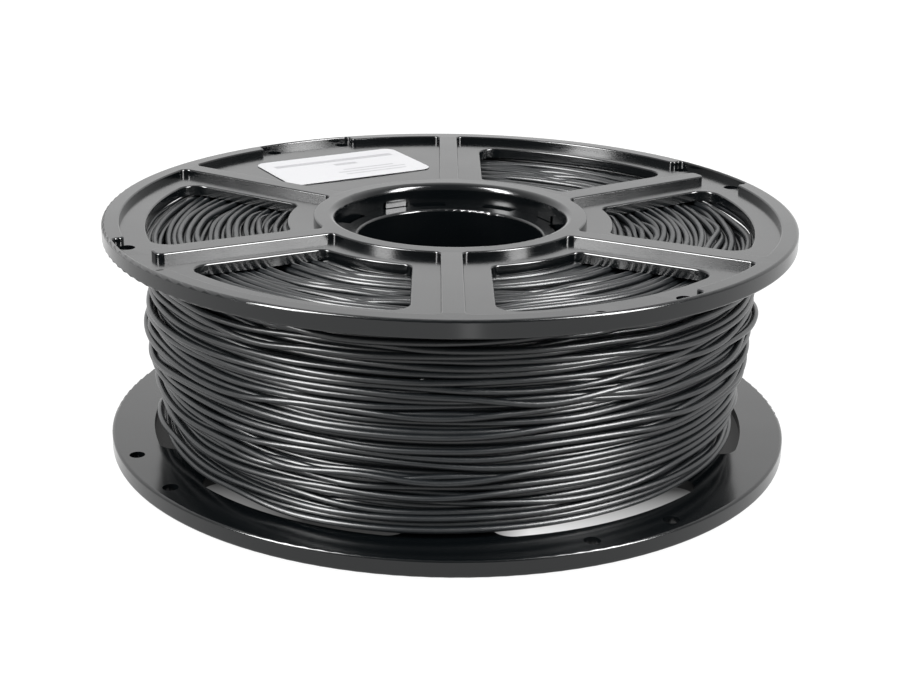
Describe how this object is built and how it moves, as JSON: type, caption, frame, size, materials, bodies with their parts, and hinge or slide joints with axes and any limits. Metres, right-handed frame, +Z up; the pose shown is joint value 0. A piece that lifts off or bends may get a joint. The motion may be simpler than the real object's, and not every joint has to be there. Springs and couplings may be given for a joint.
{
  "type": "filament spool",
  "caption": "Round two-flange plastic spool with a central bore and lightening windows, wound full of 3D-printer filament, blank paper label in one flange pocket.",
  "frame": {"origin": "on the spool's axis, in the plane that the lower flange's rim rests on", "axes": "+Z up along the spool's axis; the label lies in the upper flange at azimuth 120.7 degrees from +X towards +Y, and the side seen first is the -Y side"},
  "size_m": [0.2, 0.2, 0.068],
  "materials": {
    "spool_plastic": "glossy injection moulding with fine handling scratches",
    "filament": "smooth extruded strand, slightly softer gloss than the spool",
    "label_paper": "white self-adhesive paper with faint grey print blocks"
  },
  "bodies": {
    "root": {"upper_flange": "spool_plastic", "lower_flange": "spool_plastic", "core": "spool_plastic", "filament_winding": "filament", "label": "label_paper"}
  },
  "joints": []
}
